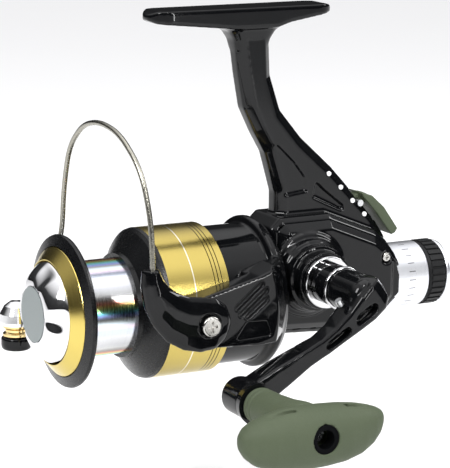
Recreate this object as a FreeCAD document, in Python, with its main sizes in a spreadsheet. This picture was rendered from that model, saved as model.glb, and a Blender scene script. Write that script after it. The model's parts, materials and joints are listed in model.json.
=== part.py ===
"""Front-and-rear-drag spinning reel, as a parametric document.

Frame: +Z up, the origin at the centre of the rod foot's flat top, +X on the handle side.
"Ahead" is distance towards the spool, which is -Y.  Every sub-part is drawn in a frame whose
origin is on the main-shaft axis, axis_drop below the foot, and is placed there by its Placement.
Millimetres throughout.
"""
import FreeCAD
import Part
import Sketcher
import math
import os

DRIVING = {
    # whole reel
    "axis_drop": 103.5, "shaft_radius": 2.0, "fit_gap": 0.05,
    # rod foot and stem
    "foot_length": 73.0, "foot_width": 15.0, "foot_depth": 7.4, "stem_half": 5.5,
    "stem_bevel": 3.2,
    # housing
    "house_far": 14.0, "house_near": 11.0, "cover_thick": 3.0, "house_bevel": 4.8, "house_front": -9.0,
    "house_rear": -62.25, "drum_radius": 21.3, "drum_front": -3.5, "collar_radius": 12.5,
    "collar_front": 11.0, "bearing_radius": 9.0, "clutch_radius": 10.5,
    # handle axis
    "crank_ahead": -22.05, "crank_rise": 7.3, "crank_shaft_radius": 3.0, "boss_radius": 13.0,
    "sleeve_radius": 7.4, "sleeve_out": 27.0, "arm_in": 48.0, "arm_out": 57.0,
    "knob_ahead": 22.9, "knob_rise": -24.0, "knob_out": 107.5, "knob_length": 53.0,
    "grip_radius": 9.2,
    # gears
    "mesh_ahead": -8.19, "gear_radius": 17.0, "pinion_root": 2.75, "pinion_tip": 3.85,
    "tooth_width": 0.66, "gear_face": 4.6, "gear_tip": 3.15,
    "stroke_ahead": -36.0, "stroke_rise": -1.0,
    # rotor and bail
    "rotor_back": -8.05, "rotor_front": 24.0, "rotor_radius": 25.0, "rotor_ring_radius": 27.6,
    "arm_inner": 27.8, "arm_outer": 36.4, "pivot_ahead": 30.95, "pivot_rise": -0.3,
    "bail_inner": 36.9, "bail_outer": 40.6, "wire_radius": 0.95, "roller_out": 36.0,
    "roller_ahead": 70.6, "roller_rise": -14.4,
    # spool
    "skirt_radius": 26.9, "skirt_front": 38.65, "skirt_back": 15.55, "arbor_radius": 17.0,
    "arbor_back": 47.5, "arbor_front": 66.4, "lip_radius": 27.0, "bevel_radius": 18.3,
    # front drag knob, rear drag
    "front_knob_radius": 18.0, "disc_radius": 9.7, "disc_face": 79.55,
    "ring_radius": 12.1, "ring_front": -58.5, "ring_back": -75.6, "rear_knob_radius": 12.2,
    "rear_knob_back": -83.4,
    # bait lever
    "lever_ahead": -48.8, "lever_rise": 29.6, "lever_half": 5.6,
}


class Size:
    """A length held both as a number and as the sheet expression that drives it."""

    def __init__(self, number, text):
        self.number = number
        self.text = text

    def __neg__(self):
        return Size(-self.number, "-(%s)" % self.text)

    def __add__(self, other):
        other = size(other)
        return Size(self.number + other.number, "%s + (%s)" % (self.text, other.text))

    def __radd__(self, other):
        return size(other) + self

    def __sub__(self, other):
        return self + (-size(other))

    def __rsub__(self, other):
        return size(other) + (-self)

    def __mul__(self, factor):
        return Size(self.number * factor, "(%s) * %r" % (self.text, float(factor)))

    __rmul__ = __mul__


def size(value):
    return value if isinstance(value, Size) else Size(float(value), "%r" % float(value))


class Cells:
    """The driving dimensions, each an attribute that gives a Size."""

    def __getattr__(self, name):
        return Size(DRIVING[name], "dims." + name)


doc = FreeCAD.newDocument("spinning_reel")
sheet = doc.addObject("Spreadsheet::Sheet", "dims")
for row, (alias, value) in enumerate(DRIVING.items(), start=1):
    sheet.set("A%d" % row, alias)
    sheet.set("B%d" % row, "%g" % value)
    sheet.setAlias("B%d" % row, alias)
doc.recompute()

D = Cells()
GAP = D.fit_gap
SHAFT = D.shaft_radius
nodes = []


# ---------------------------------------------------------------- building helpers

def place(item, x=0, ahead=0, rise=0):
    """Put an object's frame at a point beside the main-shaft axis."""
    item.setExpression("Placement.Base.x", size(x).text)
    item.setExpression("Placement.Base.y", (-size(ahead)).text)
    item.setExpression("Placement.Base.z", (size(rise) - D.axis_drop).text)


def new_body(name, x=0, ahead=0, rise=0):
    body = doc.addObject("PartDesign::Body", name)
    body.Label = name
    place(body, x, ahead, rise)
    nodes.append(body)
    return body


def sketch_on(body, plane, offset=0):
    """An empty sketch on one of the body's origin planes, moved along that plane's normal."""
    sketch = body.newObject("Sketcher::SketchObject", body.Label + "_sketch")
    planes = [f for f in body.Origin.OriginFeatures if f.Role == plane]
    sketch.AttachmentSupport = [(planes[0], "")]
    sketch.MapMode = "FlatFace"
    sketch.setExpression("AttachmentOffset.Base.z", size(offset).text)
    return sketch


def pin_point(sketch, edge, end, x, y):
    """Drive one end of an edge from the sheet."""
    for kind, value in (("DistanceX", x), ("DistanceY", y)):
        number = sketch.addConstraint(Sketcher.Constraint(kind, -1, 1, edge, end, value.number))
        sketch.setExpression("Constraints[%d]" % number, value.text)


def draw_outline(sketch, points):
    """A closed outline; a third entry in a point bulges the next edge by that much to its right."""
    corners = [(size(p[0]), size(p[1])) for p in points]
    count = len(points)
    ends = []
    for index, corner in enumerate(points):
        x1, y1 = (value.number for value in corners[index])
        x2, y2 = (value.number for value in corners[(index + 1) % count])
        start, end = FreeCAD.Vector(x1, y1, 0), FreeCAD.Vector(x2, y2, 0)
        if len(corner) == 3:
            right = FreeCAD.Vector(y2 - y1, x1 - x2, 0).normalize()
            middle = (start + end) * 0.5 + right * corner[2]
            # the sketcher keeps its arcs anticlockwise
            if corner[2] > 0:
                arc = Part.Arc(start, middle, end)
                ends.append((1, 2))
            else:
                arc = Part.Arc(end, middle, start)
                ends.append((2, 1))
            edge = sketch.addGeometry(arc)
            sketch.addConstraint(Sketcher.Constraint("Radius", edge, sketch.Geometry[edge].Radius))
        else:
            sketch.addGeometry(Part.LineSegment(start, end))
            ends.append((1, 2))
    for index in range(count):
        following = (index + 1) % count
        sketch.addConstraint(Sketcher.Constraint(
            "Coincident", index, ends[index][1], following, ends[following][0]))
        pin_point(sketch, index, ends[index][0], *corners[index])


def draw_circle(sketch, x, y, radius):
    x, y, radius = size(x), size(y), size(radius)
    edge = sketch.addGeometry(Part.Circle(
        FreeCAD.Vector(x.number, y.number, 0), FreeCAD.Vector(0, 0, 1), radius.number))
    number = sketch.addConstraint(Sketcher.Constraint("Radius", edge, radius.number))
    sketch.setExpression("Constraints[%d]" % number, radius.text)
    pin_point(sketch, edge, 3, x, y)


def spin(body, points, axis="ahead", cut=False):
    """Turn an outline of (along, radius) points about the shaft, across or upright axis."""
    plane, line = {"ahead": ("YZ_Plane", "H_Axis"), "across": ("XZ_Plane", "H_Axis"),
                   "upright": ("XZ_Plane", "V_Axis")}[axis]
    sketch = sketch_on(body, plane)
    turned = {"ahead": lambda p: (-size(p[0]), p[1]) + tuple(p[2:]),
              "across": lambda p: tuple(p),
              "upright": lambda p: (p[1], p[0]) + tuple(p[2:])}[axis]
    draw_outline(sketch, [turned(p) for p in points])
    kind = "PartDesign::Groove" if cut else "PartDesign::Revolution"
    feature = body.newObject(kind, body.Label + ("_groove" if cut else "_turn"))
    feature.Profile = sketch
    feature.ReferenceAxis = (sketch, [line])
    feature.Angle = 360
    return feature


def side_outline(points):
    """Points given as (ahead, rise) in the sketch axes of the YZ plane."""
    return [(-size(p[0]), p[1]) + tuple(p[2:]) for p in points]


def across_span(side, inner, outer):
    """The two distances across the reel of something that stands on one side of it."""
    return (inner, outer) if side > 0 else (-outer, -inner)


def slab(body, points, low, high, plane="YZ_Plane", cut=False, holes=()):
    """Pad or pocket an outline between two distances along the plane's normal."""
    sketch = sketch_on(body, plane, low)
    draw_outline(sketch, points)
    for hole in holes:
        draw_circle(sketch, *hole)
    return extrude(body, sketch, size(high) - low, cut)


def rod(body, x, y, radius, low, high, plane="YZ_Plane", cut=False):
    """A round pad or pocket between two distances along the plane's normal."""
    sketch = sketch_on(body, plane, low)
    draw_circle(sketch, x, y, radius)
    return extrude(body, sketch, size(high) - low, cut)


def extrude(body, sketch, length, cut):
    kind = "PartDesign::Pocket" if cut else "PartDesign::Pad"
    if cut:
        doc.recompute()
        before = body.Shape.Volume
    feature = body.newObject(kind, body.Label + ("_pocket" if cut else "_pad"))
    feature.Profile = sketch
    feature.setExpression("Length", length.text)
    feature.Reversed = cut
    if cut:
        doc.recompute()
        if body.Shape.Volume > before - 0.01:
            raise RuntimeError(body.Label + ": a pocket removed nothing")
    return feature


def ring_of(body, feature, axis, count):
    """Repeat a feature round one of the body's origin axes."""
    doc.recompute()
    pattern = body.newObject("PartDesign::PolarPattern", body.Label + "_pattern")
    pattern.Originals = [feature]
    axes = [f for f in body.Origin.OriginFeatures if f.Role == axis]
    pattern.Axis = (axes[0], [""])
    pattern.Angle = 360
    pattern.Occurrences = count
    body.Tip = pattern


def bevel_rim(body, x, width):
    """Chamfer the edges that lie in the plane at one distance across the reel."""
    doc.recompute()
    base = body.Tip
    names = []
    for index, edge in enumerate(base.Shape.Edges, start=1):
        if abs(edge.BoundBox.XMin - x.number) < 0.01 and abs(edge.BoundBox.XMax - x.number) < 0.01:
            names.append("Edge%d" % index)
    chamfer = body.newObject("PartDesign::Chamfer", body.Label + "_chamfer")
    chamfer.Base = (base, names)
    chamfer.setExpression("Size", width.text)


def turned(name, points, axis="ahead", x=0, ahead=0, rise=0):
    body = new_body(name, x, ahead, rise)
    spin(body, points, axis)
    return body


def tube(name, inner, outer, low, high, axis="ahead", x=0, ahead=0, rise=0):
    """A plain turned ring or, with inner 0, a disc."""
    turned(name, [(low, inner), (low, outer), (high, outer), (high, inner)], axis, x, ahead, rise)


def group(name, shape):
    """Identical separate pieces kept as one sub-part."""
    item = doc.addObject("Part::Feature", name)
    item.Label = name
    item.Shape = shape
    place(item)
    nodes.append(item)


def point(x, ahead, rise):
    return FreeCAD.Vector(size(x).number, -size(ahead).number, size(rise).number)


X_AXIS = FreeCAD.Vector(1, 0, 0)
BACK = FreeCAD.Vector(0, 1, 0)


def tooth_outline(root, tip, root_half, tip_half, angle):
    """A straight tapered tooth standing off a round blank in the direction of an angle."""
    outline = []
    for along, across in ((root, -root_half), (tip, -tip_half), (tip, tip_half), (root, root_half)):
        outline.append((along * math.cos(angle) - across * math.sin(angle),
                        along * math.sin(angle) + across * math.cos(angle)))
    return outline


def cross_head_screw(centre, direction, head_radius, head_height, shank_radius, shank_length):
    """A pan-head screw; direction points from the shank out through the head."""
    head = Part.makeCylinder(head_radius, head_height, centre, direction)
    head = head.makeFillet(head_height * 0.45, [head.Edges[0]])
    shank = Part.makeCylinder(shank_radius, shank_length, centre - direction * shank_length, direction)
    screw = head.fuse(shank)
    top = centre + direction * head_height
    across = direction.cross(FreeCAD.Vector(0, 0, 1)).normalize()
    for along in (across, direction.cross(across)):
        other = direction.cross(along)
        slot = Part.makeBox(head_radius * 1.1, head_radius * 0.28, head_height * 0.5)
        frame = FreeCAD.Matrix(along.x, other.x, -direction.x, 0, along.y, other.y, -direction.y, 0,
                               along.z, other.z, -direction.z, 0, 0, 0, 0, 1)
        slot.translate(FreeCAD.Vector(-head_radius * 0.55, -head_radius * 0.14, 0))
        slot = slot.transformGeometry(frame)
        slot.translate(top)
        screw = screw.cut(slot)
    return screw


# ---------------------------------------------------------------- housing, stem and foot

# ahead, rise and side of each screw that holds the housing's covers
CASE_SCREWS = ((-55.6, 10.2, 1), (-55.2, 10.2, -1), (-53.0, -8.4, -1), (-15.0, -11.2, -1))
SCREW_SEAT = D.house_far - 1.6
SCREW_LENGTH = 6.0
SCREW_SHANK = 0.9
SCREW_HEAD = 1.7
# the rod that keeps the stroke block upright
GUIDE_RISE = -10.9
GUIDE_RADIUS = 1.3
GUIDE_REAR = -51.0


def housing_outline():
    """The housing seen from the side."""
    return side_outline([
        (D.house_rear, 9.5), (-57.6, 15.8), (-53, 19.6), (-33, 27.8), (-13, 27.8), (D.house_front, 24),
        (D.house_front, -14.8), (-34, -16.2), (-52, -13.8), (-58.5, -10.2), (D.house_rear, -5.5)])


def cut_ring_seat(body):
    """The round seat that the rear ring is let into."""
    spin(body, [(D.ring_front, 8.0), (D.ring_front, D.ring_radius + GAP),
                (D.house_rear - 1, D.ring_radius + GAP), (D.house_rear - 1, 8.0)], cut=True)


def build_body_frame():
    body = new_body("body_frame")
    far = -D.house_far
    slab(body, side_outline([
        (3.2, 97), (0.8, 79.6), (-1.4, 67.4), (-5.7, 58.5), (-10.2, 50.7), (-14.4, 36), (-14.4, 18),
        (-60.5, 10), (-61.2, 15.6), (-55, 24.9), (-37.8, 43.5), (-25, 55.2), (-16.3, 65.7),
        (-12, 78.8), (-11.2, 97)]), -D.stem_half, D.stem_half)
    bevel_rim(body, D.stem_half, D.stem_bevel)
    bevel_rim(body, -D.stem_half, D.stem_bevel)
    slab(body, housing_outline(), far, D.house_near)
    bevel_rim(body, D.house_near, D.house_bevel - D.cover_thick)
    bevel_rim(body, far, D.house_bevel)
    foot_half = D.foot_length * 0.5
    top = D.axis_drop
    slab(body, side_outline([
        (foot_half, top - 1.6), (foot_half - 3, top), (3 - foot_half, top), (-foot_half, top - 1.3),
        (-foot_half, top - 2.8), (-18, top - 5.8), (-12.7, top - D.foot_depth),
        (4.2, top - D.foot_depth), (foot_half - 2.5, top - 4.4), (foot_half, top - 3.2)]),
        D.foot_width * -0.5, D.foot_width * 0.5)
    spin(body, [(D.house_front, 0), (D.house_front, D.drum_radius),
                (D.drum_front - 1, D.drum_radius), (D.drum_front, D.drum_radius - 1),
                (D.drum_front, D.collar_radius), (D.collar_front, D.collar_radius),
                (D.collar_front, 0)])
    cavity = side_outline([
        (-12, 24.8), (-12, -12.9), (-34, -14.2), (-47.5, -12.9), (-52.5, -9), (-52.5, 8), (-50, 14),
        (-33, 24.8)])
    slab(body, cavity, -11, 12, cut=True)
    # room for the drive gear's front edge inside the round front drum
    slab(body, side_outline([(-4.4, -11), (-4.4, 13.2), (-8.5, 18.6), (-13, 24.8), (-13, -13.5)]),
         -6, 8.4, cut=True)
    bearing = D.bearing_radius
    spin(body, [(-6, 0), (-6, 6.5), (-3.2, 6.5), (-3.2, bearing), (3, bearing), (3, D.clutch_radius),
                (D.collar_front + 1, D.clutch_radius), (D.collar_front + 1, 0)], cut=True)
    spin(body, [(-50, 0), (-50, SHAFT + 0.15), (D.house_rear + 1, SHAFT + 0.15),
                (D.house_rear + 1, 8.0), (D.house_rear - 1, 8.0), (D.house_rear - 1, 0)], cut=True)
    cut_ring_seat(body)
    # the far side's round boss and the seat of its shaft bearing
    sketch = sketch_on(body, "YZ_Plane", far - 5)
    draw_circle(sketch, -D.crank_ahead, D.crank_rise, 11.0)
    extrude(body, sketch, size(5), False)
    rod(body, -D.crank_ahead, D.crank_rise, 8.0, far - 1, far + 4, cut=True)
    rod(body, -D.crank_ahead, D.crank_rise, D.crank_shaft_radius + 1, far - 6, far, cut=True)
    # slot for the lever's tongue, and its pivot hole
    slab(body, side_outline([(-43.5, 24), (-53.5, 20), (-59, 24), (-46, 38)]), -2.6, 2.6, cut=True)
    rod(body, -D.lever_ahead, D.lever_rise, 1.2, -D.stem_half, D.stem_half, cut=True)
    # hole for the stroke gear's axle and the guide rod
    rod(body, -D.stroke_ahead, D.stroke_rise, 1.5, far + 1, -10.5, cut=True)
    rod(body, 0, GUIDE_RISE, GUIDE_RADIUS, GUIDE_REAR, -10.5, "XZ_Plane", cut=True)
    for ahead, rise, side in CASE_SCREWS:
        seat = SCREW_SEAT * side
        if side > 0:
            rod(body, -ahead, rise, SCREW_HEAD + 0.5, seat - 2, seat)
            rod(body, -ahead, rise, SCREW_SHANK, seat - SCREW_LENGTH, seat + 1, cut=True)
        else:
            rod(body, -ahead, rise, SCREW_HEAD + 0.3, far - 1, seat, cut=True)
            rod(body, -ahead, rise, SCREW_SHANK, seat - 1, seat + SCREW_LENGTH, cut=True)


def build_side_cover():
    body = new_body("side_cover")
    low, high = D.house_near, D.house_near + D.cover_thick
    slab(body, housing_outline(), low - 2.5, high)
    bevel_rim(body, high, D.house_bevel)
    slab(body, side_outline([(0, -30), (0, 40), (-70, 40), (-70, -30)]), low - 3, low, cut=True)
    cut_ring_seat(body)
    # the stepped round boss: three rings, each smaller and further out than the last
    for reach, radius in ((4.2, D.boss_radius), (8.4, D.boss_radius - 1.1), (13.0, D.boss_radius - 2.6)):
        rod(body, -D.crank_ahead, D.crank_rise, radius, high - 0.5, high + reach)
    rod(body, -D.crank_ahead, D.crank_rise, 8.0, low - 1, low + 4, cut=True)
    rod(body, -D.crank_ahead, D.crank_rise, D.crank_shaft_radius + 1.2, low + 3, high + 14, cut=True)
    for ahead, rise, side in CASE_SCREWS:
        if side > 0:
            rod(body, -ahead, rise, SCREW_HEAD + 0.55, low - 1, high + 1, cut=True)


def build_frame_details():
    screws = []
    for ahead, rise, side in CASE_SCREWS:
        seat = point(SCREW_SEAT * side, ahead, rise)
        screws.append(cross_head_screw(seat, X_AXIS * side, SCREW_HEAD, 1.2, SCREW_SHANK, SCREW_LENGTH))
    group("case_screws", Part.Compound(screws))

    studs = []
    for index in range(4):
        seat = point(D.stem_half, -35.0 - index * 5.1, 41.7 - index * 5.4)
        studs.append(Part.makeCylinder(0.85, 0.5, seat, X_AXIS))
    group("stem_studs", Part.Compound(studs))

    tube("front_bearing", 3.2 + GAP, D.bearing_radius, -3.2, 3)
    tube("one_way_clutch", 3.2 + GAP, D.clutch_radius, 3.0, 10.2)
    for name, low in (("shaft_bearing_near", D.house_near), ("shaft_bearing_far", -D.house_far)):
        tube(name, D.crank_shaft_radius + GAP, 8.0, low, low + 4, "across", 0, D.crank_ahead, D.crank_rise)
    tube("stroke_axle", 0, 1.5, -D.house_far + 1, -6.4, "across", 0, D.stroke_ahead, D.stroke_rise)
    tube("guide_rod", 0, GUIDE_RADIUS, GUIDE_REAR, -10.6, "ahead", 0, 0, GUIDE_RISE)
    lever_pin = new_body("lever_pin", 0, D.lever_ahead, D.lever_rise)
    rod(lever_pin, 0, 0, 1.2, -D.stem_half, D.stem_half)


def build_rear_drag():
    turned("rear_drag_ring", [
        (D.ring_front, 8.0), (D.ring_front, D.ring_radius),
        (D.ring_back + 0.6, D.ring_radius), (D.ring_back, D.ring_radius - 0.6),
        (D.ring_back, 10.4), (D.house_rear - 2, 10.4), (D.house_rear - 2, 8.0)])
    tube("bait_spindle", SHAFT + 0.15, 3.6, D.rear_knob_back + 2.4, D.house_rear + 1)
    washers = []
    for index in range(4):
        start = point(0, -66.4 - index * 1.3, 0)
        washer = Part.makeCylinder(9.6, 0.9, start, BACK)
        washers.append(washer.cut(Part.makeCylinder(3.75, 0.9, start, BACK)))
    group("bait_washers", Part.Compound(washers))


# ---------------------------------------------------------------- handle and gears

DRIVE_TEETH = 42
PINION_TEETH = 10
SMALL_STROKE_TEETH = 12
STROKE_TEETH = 28
KNOB_SPINDLE = 2.5


def build_drive_train():
    at = (0, D.crank_ahead, D.crank_rise)
    gear = new_body("drive_gear", *at)
    face, root = D.gear_face, D.crank_shaft_radius
    spin(gear, [(face, root), (face, 7.0), (face + 0.8, 7.4), (face + 0.8, 10.6), (face, 11.0),
                (face, D.gear_radius), (face + 2.2, D.gear_radius), (face + 2.2, 8.0),
                (face + 5.6, 6.0), (face + 5.6, root)], "across")
    # the teeth stand off the gear's far face, in line with the pinion that they drive
    reach = D.mesh_ahead - D.crank_ahead
    half = D.tooth_width * 0.5
    tooth = slab(gear, side_outline([
        (reach - 1.5, -D.crank_rise - half), (reach + 1.4, -D.crank_rise - half),
        (reach + 1.4, -D.crank_rise + half), (reach - 1.5, -D.crank_rise + half)]),
        D.gear_tip, face + 0.2)
    ring_of(gear, tooth, "X_Axis", DRIVE_TEETH)

    tube("handle_shaft", 0, root, -17.8, 44.0, "across", *at)

    # the stroke pinion and gear are both phased from the line between their centres
    centres = math.atan2(DRIVING["stroke_rise"] - DRIVING["crank_rise"],
                         DRIVING["crank_ahead"] - DRIVING["stroke_ahead"])
    low, high = -9.4, -6.6
    small = new_body("stroke_pinion", *at)
    spin(small, [(low, root), (low, 3.9), (high, 3.9), (high, root)], "across")
    tooth = slab(small, tooth_outline(3.7, 5.45, 0.62, 0.38, centres), low, high)
    ring_of(small, tooth, "X_Axis", SMALL_STROKE_TEETH)

    stroke = new_body("stroke_gear", 0, D.stroke_ahead, D.stroke_rise)
    spin(stroke, [(low, 1.5 + GAP), (low, 10.3), (high, 10.3), (high, 1.5 + GAP)], "across")
    half_pitch = math.pi / STROKE_TEETH
    tooth = slab(stroke, tooth_outline(10.1, 11.95, 0.62, 0.38, centres + math.pi + half_pitch), low, high)
    ring_of(stroke, tooth, "X_Axis", STROKE_TEETH)
    rod(stroke, 0, -8.0, 1.4, high - 0.2, high + 0.9)

    turned("handle_sleeve", [
        (D.sleeve_out + 2.4, root), (D.sleeve_out + 2.4, 6.8), (D.sleeve_out + 3.0, D.sleeve_radius),
        (38.6, D.sleeve_radius), (38.6, root)], "across", *at)
    rings = []
    centre = point(0, D.crank_ahead, D.crank_rise)
    for start, length, radius in ((27.3, 2.1, 9.4), (38.6, 1.6, 7.9)):
        ring = Part.makeCylinder(radius, length, centre + X_AXIS * start, X_AXIS)
        ring = ring.makeFillet(0.5, [ring.Edges[0], ring.Edges[2]])
        rings.append(ring.cut(Part.makeCylinder(root.number, length, centre + X_AXIS * start, X_AXIS)))
    group("sleeve_rings", Part.Compound(rings))

    turned("handle_cap", [
        (-19.6, 0), (-19.6, 7.2), (-20.2, 7.8), (-26.4, 7.8), (-27.4, 6.6), (-27.4, 0)], "across", *at)


def build_crank():
    at = (0, D.crank_ahead, D.crank_rise)
    run = D.knob_ahead - D.crank_ahead
    climb = D.knob_rise - D.crank_rise
    arm = new_body("crank_arm", *at)
    rod(arm, 0, 0, 7.2, 40.2, D.arm_out + 2)
    rod(arm, -run, climb, 6.4, D.arm_in - 1.5, D.arm_out)
    length = math.hypot(run.number, climb.number)
    ux, uz = -run.number / length, climb.number / length
    slope = climb.number / run.number
    ends = []
    for along, inner, outer, half in ((0.5, 3.0, 3.0, 7.2), (43.0, 0.0, -1.0, 5.4)):
        sketch = sketch_on(arm, "XZ_Plane", along)
        middle = along * slope
        low, high = D.arm_in + inner, D.arm_out + outer
        draw_outline(sketch, [(low, middle - half), (high, middle - half),
                              (high, middle + half), (low, middle + half)])
        ends.append(sketch)
    beam = arm.newObject("PartDesign::AdditiveLoft", "crank_arm_beam")
    beam.Profile = ends[0]
    beam.Sections = [ends[1]]
    beam.Ruled = True
    for start, stop in ((13.0, 23.0), (27.0, 36.0)):
        window = [(along * ux - across * uz, along * uz + across * ux)
                  for along, across in ((start, -2.6), (stop, -2.4), (stop, 2.4), (start, 2.6))]
        slab(arm, window, D.arm_out - 1.2, D.arm_out + 4, cut=True)
    rod(arm, 0, 0, D.crank_shaft_radius, 39, 44, cut=True)
    rod(arm, -run, climb, KNOB_SPINDLE, 40, 60, cut=True)

    # the fold hinge's pins go in from both edges of the arm
    hinge, pin_radius, pin_start, pin_length = 9.0, 1.3, 4.25, 2.2
    across = FreeCAD.Vector(0, -uz, ux)
    pin_centre = (point(D.arm_in + 6.5, D.crank_ahead, D.crank_rise)
                  + FreeCAD.Vector(0, ux, uz) * hinge)
    for end in (1, -1):
        corners = [(hinge * ux + 1.4 * i * ux - end * j * uz, hinge * uz + 1.4 * i * uz + end * j * ux)
                   for i, j in ((-1, 4.2), (1, 4.2), (1, 8.0), (-1, 8.0))]
        slab(arm, corners, D.arm_in + 5.1, D.arm_in + 7.9, cut=True)
    group("fold_pins", Part.Compound([
        Part.makeCylinder(pin_radius, pin_length, pin_centre + across * (pin_start * end), across * end)
        for end in (1, -1)]))


def build_knob():
    at = (0, D.knob_ahead, D.knob_rise)
    spindle_end = 100.0
    tube("knob_spindle", 0, KNOB_SPINDLE, D.arm_in - 2.4, spindle_end, "across", *at)
    turned("knob_collar", [
        (D.arm_out + 0.4, KNOB_SPINDLE + GAP), (D.arm_out + 0.4, 7.0), (D.arm_out + 3.4, 7.4),
        (D.arm_out + 3.4, KNOB_SPINDLE + GAP)], "across", *at)

    # a bean-shaped bar across the end of a necked stalk
    bar = D.knob_out - D.grip_radius
    knob = new_body("knob", bar, D.knob_ahead, D.knob_rise)
    half = D.knob_length * 0.5
    spin(knob, [(-half, 0), (0.6 - half, 3.6), (4.0 - half, 6.6), (-12, D.grip_radius - 0.8),
                (0, D.grip_radius), (12, D.grip_radius - 0.8), (half - 4.0, 6.6), (half - 0.6, 3.6),
                (half, 0)])
    start = D.arm_out + 3.4 - bar
    spin(knob, [(start, 0), (start, 6.4), (-24, 6.6), (-14, 7.4), (-5, 8.6), (-5, 0)], "across")
    shelf = spindle_end + 1 - bar
    plug_radius = 4.85
    rod(knob, 0, 0, KNOB_SPINDLE + GAP, start - 1, shelf, cut=True)
    rod(knob, 0, 0, plug_radius + GAP, shelf, 12, cut=True)
    tube("knob_plug", 3.2, plug_radius, spindle_end + 1.2, D.knob_out - 1.5, "across", *at)


# ---------------------------------------------------------------- rotor and bail

PIVOT_SCREW = 1.8


def build_rotor():
    pinion = new_body("pinion")
    bore = SHAFT + GAP
    spin(pinion, [(-11.4, bore), (-11.4, D.pinion_root), (-5.4, D.pinion_root), (-5.4, 3.2),
                  (29.0, 3.2), (29.0, bore)])
    half = D.tooth_width.number * 0.5
    outline = tooth_outline(D.pinion_root.number - 0.2, D.pinion_tip.number, half, half * 0.8,
                            math.pi / PINION_TEETH)
    tooth = slab(pinion, outline, -11.4, -5.4, "XZ_Plane")
    ring_of(pinion, tooth, "Y_Axis", PINION_TEETH)

    rotor = new_body("rotor")
    inner = D.rotor_radius - 2
    spin(rotor, [
        (17, 3.2), (17, 7), (D.rotor_front - 2.5, 8), (D.rotor_front - 2.5, inner),
        (D.rotor_back, inner), (D.rotor_back, D.rotor_ring_radius - 0.8),
        (D.rotor_back + 0.8, D.rotor_ring_radius), (-3.85, D.rotor_ring_radius),
        (-3.05, D.rotor_ring_radius - 0.7), (-2.6, D.rotor_radius),
        (D.rotor_front - 1, D.rotor_radius), (D.rotor_front, D.rotor_radius - 1), (D.rotor_front, 3.2)])
    for side in (1, -1):
        root = [(10.5, -10.5), (D.rotor_back, -9.5), (D.rotor_back, 16.8), (2, 16.6), (10.5, 13.5)]
        slab(rotor, side_outline(root), *across_span(side, D.rotor_radius - 1.5, D.arm_outer))
        arm = [(9, -10.5), (9, 14.0), (D.pivot_ahead, 8.7, 8.4), (D.pivot_ahead, -9.3)]
        slab(rotor, side_outline(arm), *across_span(side, D.arm_inner, D.arm_outer))
    # both arms slope down to the rear ring
    slope_top, clear = 4.0, 48.0
    foot_of_slope = D.rotor_ring_radius + 0.7
    spin(rotor, [(D.rotor_back - 1, foot_of_slope), (D.rotor_back + 1.5, foot_of_slope),
                 (slope_top, D.arm_outer + 2.5), (slope_top, clear), (D.rotor_back - 1, clear)], cut=True)
    recess = [(14.2, -1.6), (6.5, -2.0), (4.7, -7.2), (18.8, -7.8)]
    recess_depth = 1.6
    for side in (1, -1):
        slab(rotor, side_outline(recess),
             *across_span(side, D.arm_outer - recess_depth, D.arm_outer + 1), cut=True)
    rod(rotor, -D.pivot_ahead, D.pivot_rise, PIVOT_SCREW, -41, 41, cut=True)
    tube("rotor_nut", 3.2, 7.0, D.rotor_front, 28.2)

    for side, name in ((1, "arm_cover_near"), (-1, "arm_cover_far")):
        cover = new_body(name)
        slab(cover, side_outline([(14.1, -1.75), (6.6, -2.15), (4.9, -7.1), (18.5, -7.7)]),
             *across_span(side, D.arm_outer - recess_depth, D.arm_outer - 0.5))

    screws = []
    for side in (1, -1):
        seat = point((D.bail_outer + 0.1) * side, D.pivot_ahead, D.pivot_rise)
        screws.append(cross_head_screw(seat, X_AXIS * side, 3.5, 1.5, PIVOT_SCREW, 12.0))
    group("pivot_screws", Part.Compound(screws))


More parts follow.
